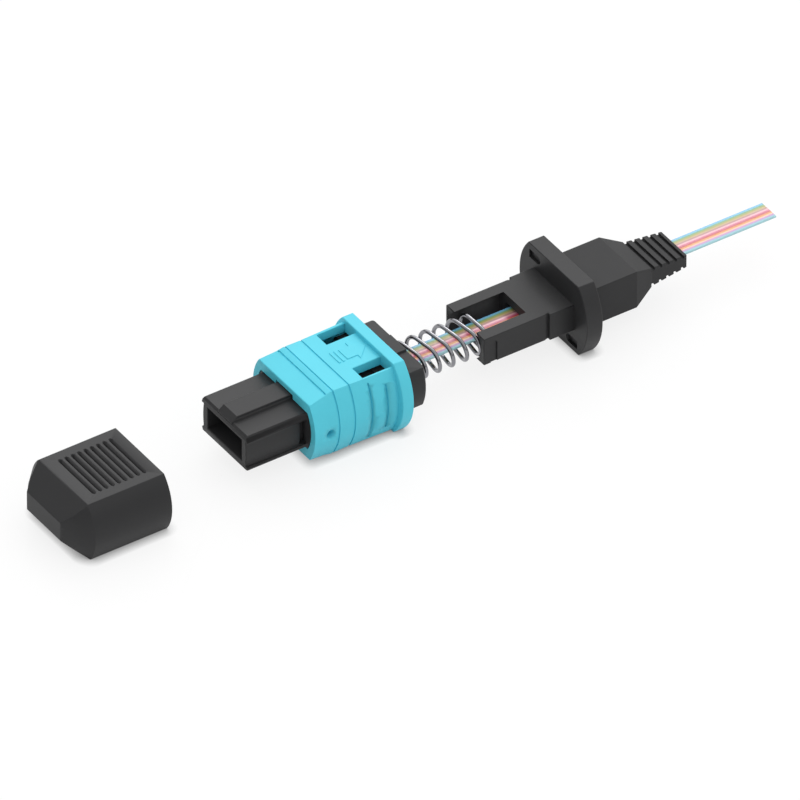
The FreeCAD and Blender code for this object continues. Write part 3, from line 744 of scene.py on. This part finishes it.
class CONNECTOR_PG_springs(PropertyGroup):
    """Finish and sizes of the three springs."""

    colour: StringProperty(name="Wire colour", description="Colour of the spring wire", default="#8c8c90")
    roughness: FloatProperty(
        name="Roughness", description="Roughness of the wire", default=0.13, **SHARE
    )
    main_wire: FloatProperty(
        name="Main wire", description="Radius of the main spring's wire, in mm", default=0.28
    )
    main_flat: FloatProperty(
        name="Main flat", description="Half the straight of a main turn, in mm", default=1.28
    )
    main_bend: FloatProperty(
        name="Main bend", description="Radius of a main turn's ends, in mm", default=1.79
    )
    main_turns: IntProperty(name="Main turns", description="Turns of the main spring", default=9)
    main_y: FloatProperty(
        name="Main Y", description="Place of the main spring's axis, in mm", default=-0.1
    )
    main_z: FloatProperty(
        name="Main Z", description="Height of the main spring's axis, in mm", default=-0.25
    )
    side_wire: FloatProperty(
        name="Side wire", description="Radius of a side spring's wire, in mm", default=0.1
    )
    side_flat: FloatProperty(
        name="Side flat", description="Half the straight of a side turn, in mm", default=0.05
    )
    side_bend: FloatProperty(
        name="Side bend", description="Radius of a side spring's coil, in mm", default=0.42
    )
    side_turns: IntProperty(name="Side turns", description="Turns of a side spring", default=8)
    closed_pitch: FloatProperty(
        name="Closed pitch", description="Pitch of the end turns, in wire radii", default=2.2
    )
    squash_anchor: FloatProperty(
        name="Squash anchor", description="Place that the main spring shortens to, in mm", default=49.19
    )
    squash_keep: FloatProperty(
        name="Squash keep", description="Share of its length that it keeps", default=0.473, **SHARE
    )


class CONNECTOR_PG_ribbon(PropertyGroup):
    """Colours and sizes of the ribbon."""

    colours: StringProperty(
        name="Fibre colours",
        description="Colours of the fibres, from the far edge of the ribbon to the near one",
        # Web colours: skyblue darkseagreen darkkhaki tan rosybrown pink,
        # palevioletred indianred sandybrown peachpuff plum lightblue
        default="#87ceeb #8fbc8f #bdb76b #d2b48c #bc8f8f #ffc0cb "
                "#db7093 #cd5c5c #f4a460 #ffdab9 #dda0dd #add8e6",
    )
    margins: StringProperty(
        name="Margin colours",
        description="Colours that the coating takes beside the outer fibres, far and near",
        default="#87cefa #b0e0e6",
    )
    pitch: FloatProperty(name="Fibre pitch", description="Spacing of the fibres, in mm", default=0.25)
    coat: FloatProperty(name="Coat radius", description="Radius of a coated fibre, in mm", default=0.11)
    bare: FloatProperty(name="Bare radius", description="Radius of a bare fibre, in mm", default=0.0625)
    bare_length: FloatProperty(name="Bare length", description="Length of bare fibre, in mm", default=4.4)
    haze: FloatProperty(
        name="Haze", description="Share of the coating that isn't clear", default=0.8, **SHARE
    )
    roughness: FloatProperty(
        name="Coating roughness", description="Roughness of the coating", default=0.25, **SHARE
    )


class CONNECTOR_PG_stage(PropertyGroup):
    """Camera, lights, sky and floor."""

    azimuth: FloatProperty(
        name="Azimuth",
        description="Turn of the camera from +Y",
        default=math.radians(33.63),
        subtype="ANGLE",
    )
    elevation: FloatProperty(
        name="Elevation",
        description="Height angle of the camera",
        default=math.radians(38.28),
        subtype="ANGLE",
    )
    distance: FloatProperty(name="Distance", description="Camera distance", default=3.877, unit="LENGTH")
    view_width: FloatProperty(
        name="View width", description="Width seen at the object, in mm", default=101.72
    )
    aim: FloatVectorProperty(
        name="Aim", description="Centre of the view, in mm", default=(21.8, -7.5, 0.94), subtype="XYZ"
    )
    sky_low: FloatProperty(name="Low sky", description="Strength of the sky at the horizon", default=0.2)
    sky_high: FloatProperty(name="High sky", description="Strength of the sky overhead", default=0.95)
    sky_lean: FloatProperty(
        name="Sky lean", description="What the sky gains towards the ribbon", default=0.3, **SHARE
    )
    sky_rise: FloatProperty(
        name="Sky rise", description="Sine of the height where the sky is full", default=0.35, **SHARE
    )
    key: FloatProperty(name="Key light", description="Strength of the small light behind", default=0.16)
    key_angle: FloatProperty(
        name="Key angle", description="Width of the small light", default=math.radians(10), subtype="ANGLE"
    )
    back: FloatProperty(name="Back light", description="Strength of the broad light behind", default=0.98)
    back_angle: FloatProperty(
        name="Back angle", description="Width of the broad light", default=math.radians(70), subtype="ANGLE"
    )
    floor_half: FloatProperty(
        name="Floor", description="Half width of the floor", default=3.0, unit="LENGTH"
    )
    floor_paper: FloatProperty(
        name="Floor paper", description="White of the floor that the part is lit by", default=0.8, **SHARE
    )
    floor_white: FloatProperty(
        name="Floor white", description="White of the floor that shows shade", default=0.17, **SHARE
    )
    floor_glow: FloatProperty(
        name="Floor glow", description="Even white of the floor", default=0.82, **SHARE
    )
    # The contact reach and depth set the floor's painted contact shadow, where ambient occlusion dims its
    # glow
    contact: FloatProperty(
        name="Contact reach", description="Reach of the contact shade, in mm", default=1.4
    )
    painted_shadow_depth: FloatProperty(
        name="Contact depth", description="Depth of the contact shade", default=0.9, **SHARE
    )


def paint_plastics():
    """The black and aqua materials, made once and shared by the operators."""
    sizes = bpy.context.scene.connector_plastics
    if BLACK_ABS in bpy.data.materials:
        return bpy.data.materials[BLACK_ABS], bpy.data.materials[AQUA_ABS]
    black = moulded_plastic(BLACK_ABS, sizes.black, sizes)
    aqua = moulded_plastic(AQUA_ABS, sizes.aqua, sizes)
    return black, aqua


class CONNECTOR_OT_black_mouldings(Operator):
    """Dresses the dust cap, the inner housing, the spring push and the ribbon boot."""

    bl_idname = "connector.black_mouldings"
    bl_label = "Black mouldings"

    def execute(self, context):
        sizes = context.scene.connector_plastics
        black, _ = paint_plastics()
        for node, body, slot in (
            ("dust_cap", "cap", "cap_plastic"),
            ("inner_housing", "housing", "housing_plastic"),
            ("spring_push", "push", "push_plastic"),
        ):
            piece = softened_copy(node, node + "_moulding", sizes, EDGE_ANGLE)
            dress_node(piece, body, [node], black)
            if node == "dust_cap":
                floor_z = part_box(node)[1].z - sizes.groove * MM
                deepen_cap_grooves(piece.data, floor_z, sizes.groove_extra * MM)
        rubber = moulded_rubber(
            "black thermoplastic rubber, moulded", sizes.black, sizes.boot_roughness, sizes.rubber_specular
        )
        boot = softened_copy("ribbon_boot", "ribbon_boot_moulding", sizes, BOOT_EDGE_ANGLE)
        dress_node(boot, "push", ["ribbon_boot"], rubber)
        return {"FINISHED"}


class CONNECTOR_OT_pull_sleeve(Operator):
    """Dresses the pull sleeve and raises its plain pull arrow."""

    bl_idname = "connector.pull_sleeve"
    bl_label = "Pull sleeve"

    def execute(self, context):
        sizes = context.scene.connector_plastics
        _, aqua = paint_plastics()
        sleeve = softened_copy("pull_sleeve", "pull_sleeve_moulding", sizes, EDGE_ANGLE)
        dress_node(sleeve, "sleeve", ["pull_sleeve"], aqua)
        sleeve_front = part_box("pull_sleeve")[0].x
        for place in sizes.side_grooves:
            front = sleeve_front + place * MM
            rear = front + sizes.side_groove * MM
            deepen_side_grooves(sleeve.data, front, rear, sizes.side_groove_extra * MM)
        arrow = context.scene.connector_arrow
        corners = [corner.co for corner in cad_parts["pull_sleeve"].data.vertices]
        roof = max(co.z / MM for co in corners if arrow.front * MM < co.x < arrow.tip * MM)
        mark = raised_marks("pull_arrow", arrow_outlines(arrow), roof, arrow.height)
        dress_node(mark, "sleeve", [], aqua)
        return {"FINISHED"}


class CONNECTOR_OT_springs(Operator):
    """Winds the main spring and the two side springs from round wire."""

    bl_idname = "connector.springs"
    bl_label = "Springs"

    def execute(self, context):
        sizes = context.scene.connector_springs
        steel = drawn_steel("spring steel, hard drawn", sizes.colour, sizes.roughness)
        tree = coil_tree()
        main_winding = winding(
            sizes.main_turns,
            MAIN_STEPS,
            sizes.main_flat,
            sizes.main_bend,
            sizes.main_wire,
            sizes.closed_pitch,
        )
        side_winding = winding(
            sizes.side_turns,
            SIDE_STEPS,
            sizes.side_flat,
            sizes.side_bend,
            sizes.side_wire,
            sizes.closed_pitch,
        )
        low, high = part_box("main_spring")
        coil = grown("main_spring_wire", tree, {
            **main_winding,
            "Front": low.x,
            "Rear": high.x,
            "Y": sizes.main_y * MM,
            "Z": sizes.main_z * MM,
            "Material": steel,
        })
        smooth_but_ends(coil)
        dress_node(coil, "push", ["main_spring"], None)
        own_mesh(coil)
        for node in ("coupling_spring_left", "coupling_spring_right"):
            low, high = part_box(node)
            coil = grown(node + "_wire", tree, {
                **side_winding,
                "Front": low.x,
                "Rear": high.x,
                "Y": (low.y + high.y) / 2,
                "Z": 0.0,
                "Material": steel,
            })
            smooth_but_ends(coil)
            dress_node(coil, "housing", [node], None)
            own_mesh(coil)
        return {"FINISHED"}


class CONNECTOR_OT_ribbon(Operator):
    """Lays the twelve fibres and the clear coating that binds them into a ribbon."""

    bl_idname = "connector.ribbon"
    bl_label = "Fibre ribbon"

    def execute(self, context):
        sizes = context.scene.connector_ribbon
        tree = strand_tree()
        for node, colour in zip(FIBRES, sizes.colours.split()):
            low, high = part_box(node)
            ink = inked_fibre("inked fibre " + node[-2:], colour)
            strand = grown(node + "_strand", tree, {
                "Front": low.x,
                "Coat Start": low.x + sizes.bare_length * MM,
                "Rear": high.x,
                "Y": (low.y + high.y) / 2,
                "Bare Radius": sizes.bare * MM,
                "Coat Radius": sizes.coat * MM,
                "Material": ink,
            })
            smooth_but_ends(strand)
            dress_node(strand, "ferrule", [node], None)
        low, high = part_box("ribbon_matrix")
        coating = flat_ribbon("ribbon_coating", low, high)
        smooth_but_ends(coating)
        far_margin, near_margin = sizes.margins.split()
        tints = [far_margin] + sizes.colours.split() + [near_margin]
        half_width = sizes.pitch * MM * len(tints) / 2
        clear = clear_coating("clear acrylate, cured", sizes.haze, sizes.roughness, half_width, tints)
        dress_node(coating, "ferrule", ["ribbon_matrix"], clear)
        return {"FINISHED"}


class CONNECTOR_OT_ferrule(Operator):
    """Gives the ferrule, its boot and the spring seat their finishes."""

    bl_idname = "connector.ferrule"
    bl_label = "Ferrule parts"

    def execute(self, context):
        sizes = context.scene.connector_plastics
        black, _ = paint_plastics()
        polymer = ground_ferrule("glass-filled polymer, polished", sizes.ferrule)
        rubber = moulded_rubber(
            "soft black rubber, moulded", sizes.soft, sizes.soft_roughness, sizes.rubber_specular
        )
        for node, material in (("mt_ferrule", polymer), ("ferrule_boot", rubber), ("spring_seat", black)):
            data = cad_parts[node].data
            data.materials.clear()
            data.materials.append(material)
        return {"FINISHED"}


def seen_directly(tree, in_gloss):
    """A factor that is 1 for the camera's rays, through clear parts too, and perhaps for gloss."""
    path = add(tree, "ShaderNodeLightPath").outputs
    both = (path["Is Camera Ray"], path["Is Transmission Ray"])
    seen = add(tree, "ShaderNodeMath", both, operation="MAXIMUM")
    if in_gloss:
        seen = add(tree, "ShaderNodeMath", (seen, path["Is Glossy Ray"]), operation="MAXIMUM")
    return seen


def white_floor(sizes):
    """White paper under the part. It looks evenly white, with soft real shade where the part meets it, and
    a painted contact shadow: ambient occlusion dims its even glow near the part.
    """
    half = sizes.floor_half
    floor_z = cad_box[0][2]
    mesh = bpy.data.meshes.new("floor")
    corners = [(x, y, floor_z) for x, y in ((-half, -half), (half, -half), (half, half), (-half, half))]
    mesh.from_pydata(corners, [], [(0, 1, 2, 3)])
    floor = new_object("floor", mesh)
    material, tree = blank_material("white paper floor")
    paper = add(tree, "ShaderNodeBsdfDiffuse", {"Color": [sizes.floor_paper] * 3 + [1.0]})
    shaded = add(tree, "ShaderNodeBsdfDiffuse", {"Color": [sizes.floor_white] * 3 + [1.0]})
    # Painted contact shadow: ambient occlusion near the part dims the floor's glow
    painted_shadow_occlusion = add(tree, "ShaderNodeAmbientOcclusion", {"Distance": sizes.contact * MM}, samples=8)
    even = add(tree, "ShaderNodeMapRange", {
        "Value": painted_shadow_occlusion.outputs["AO"],
        "To Min": sizes.floor_glow * (1 - sizes.painted_shadow_depth),
        "To Max": sizes.floor_glow,
    })
    glow = add(tree, "ShaderNodeEmission", {"Color": WHITE, "Strength": even})
    lit = add(tree, "ShaderNodeAddShader", (shaded, glow))
    finish_material(tree, add(tree, "ShaderNodeMixShader", (seen_directly(tree, True), paper, lit)))
    mesh.materials.append(material)


def studio_sky(sizes):
    """Soft light from a sky that is brighter overhead and towards the ribbon, and looks white."""
    world = bpy.data.worlds.new("white studio")
    bpy.context.scene.world = world
    world.use_nodes = True
    sky = world.node_tree
    sky.nodes.clear()
    incoming = add(sky, "ShaderNodeNewGeometry").outputs["Incoming"]
    way = add(sky, "ShaderNodeSeparateXYZ", (incoming,)).outputs
    height = add(sky, "ShaderNodeMath", (way["Z"],), operation="ABSOLUTE")
    strength = add(sky, "ShaderNodeMapRange", {
        "Value": height,
        "From Max": sizes.sky_rise,
        "To Min": sizes.sky_low,
        "To Max": sizes.sky_high,
    }, interpolation_type="SMOOTHSTEP")
    lean = add(sky, "ShaderNodeMath", (way["X"], -sizes.sky_lean, 1.0), operation="MULTIPLY_ADD")
    strength = add(sky, "ShaderNodeMath", (strength, lean), operation="MULTIPLY")
    soft = add(sky, "ShaderNodeBackground", {"Color": WHITE, "Strength": strength})
    white = add(sky, "ShaderNodeBackground", {"Color": WHITE, "Strength": 1.0})
    both = add(sky, "ShaderNodeMixShader", (seen_directly(sky, False), soft, white))
    add(sky, "ShaderNodeOutputWorld", (both,))


def hang_lamps(sizes):
    """A small and a broad lamp that shine from behind the part, both the same way."""
    for name, power, angle in (
        ("key_light", sizes.key, sizes.key_angle),
        ("back_light", sizes.back, sizes.back_angle),
    ):
        lamp = bpy.data.lights.new(name, "SUN")
        lamp.angle = angle
        lamp.energy = power
        thing = new_object(name, lamp)
        thing.rotation_euler = Vector(LIGHT_FROM).to_track_quat("Z", "Y").to_euler()


def place_camera(sizes):
    """A camera with a long lens, placed by its turn, its height angle and the point that it aims at."""
    centre = Vector(sizes.aim) * MM
    turn = sizes.azimuth
    tilt = sizes.elevation
    right = Vector((math.cos(turn), -math.sin(turn), 0))
    ahead = Vector((math.cos(tilt) * math.sin(turn), math.cos(tilt) * math.cos(turn), -math.sin(tilt)))
    above = right.cross(ahead)
    data = bpy.data.cameras.new("camera")
    data.sensor_width = SENSOR
    data.lens = SENSOR * sizes.distance / (sizes.view_width * MM)
    data.clip_end = VIEW_END
    camera = new_object("camera", data)
    basis = Matrix((right, above, -ahead)).transposed().to_4x4()
    camera.matrix_world = Matrix.Translation(centre - ahead * sizes.distance) @ basis
    bpy.context.scene.camera = camera


class CONNECTOR_OT_stage(Operator):
    """Sets the white floor, the sky, the soft lights and the camera."""

    bl_idname = "connector.stage"
    bl_label = "Stage"

    def execute(self, context):
        sizes = context.scene.connector_stage
        context.scene.view_settings.view_transform = "Standard"
        white_floor(sizes)
        studio_sky(sizes)
        hang_lamps(sizes)
        place_camera(sizes)
        return {"FINISHED"}


class CONNECTOR_PT_panel(Panel):
    """Lists the connector's operators and sizes."""

    bl_idname = "CONNECTOR_PT_panel"
    bl_label = "Connector"
    bl_space_type = "VIEW_3D"
    bl_region_type = "UI"
    bl_category = "Connector"

    def draw(self, context):
        for operator in OPERATORS:
            self.layout.operator(operator.bl_idname)
        for name in GROUPS:
            group = getattr(context.scene, name)
            box = self.layout.box()
            for key in group.__annotations__:
                box.prop(group, key)


OPERATORS = (
    CONNECTOR_OT_black_mouldings,
    CONNECTOR_OT_pull_sleeve,
    CONNECTOR_OT_springs,
    CONNECTOR_OT_ribbon,
    CONNECTOR_OT_ferrule,
    CONNECTOR_OT_stage,
)
GROUPS = {
    "connector_plastics": CONNECTOR_PG_plastics,
    "connector_arrow": CONNECTOR_PG_arrow,
    "connector_springs": CONNECTOR_PG_springs,
    "connector_ribbon": CONNECTOR_PG_ribbon,
    "connector_stage": CONNECTOR_PG_stage,
}


def register():
    for name, group in GROUPS.items():
        bpy.utils.register_class(group)
        setattr(bpy.types.Scene, name, PointerProperty(type=group))
    for cls in OPERATORS + (CONNECTOR_PT_panel,):
        bpy.utils.register_class(cls)


def unregister():
    for cls in reversed(OPERATORS + (CONNECTOR_PT_panel,)):
        bpy.utils.unregister_class(cls)
    for name, group in GROUPS.items():
        delattr(bpy.types.Scene, name)
        bpy.utils.unregister_class(group)


def main():
    register()
    bpy.ops.connector.black_mouldings()
    bpy.ops.connector.pull_sleeve()
    bpy.ops.connector.springs()
    bpy.ops.connector.ribbon()
    bpy.ops.connector.ferrule()
    bpy.ops.connector.stage()


if __name__ == "__main__":
    main()
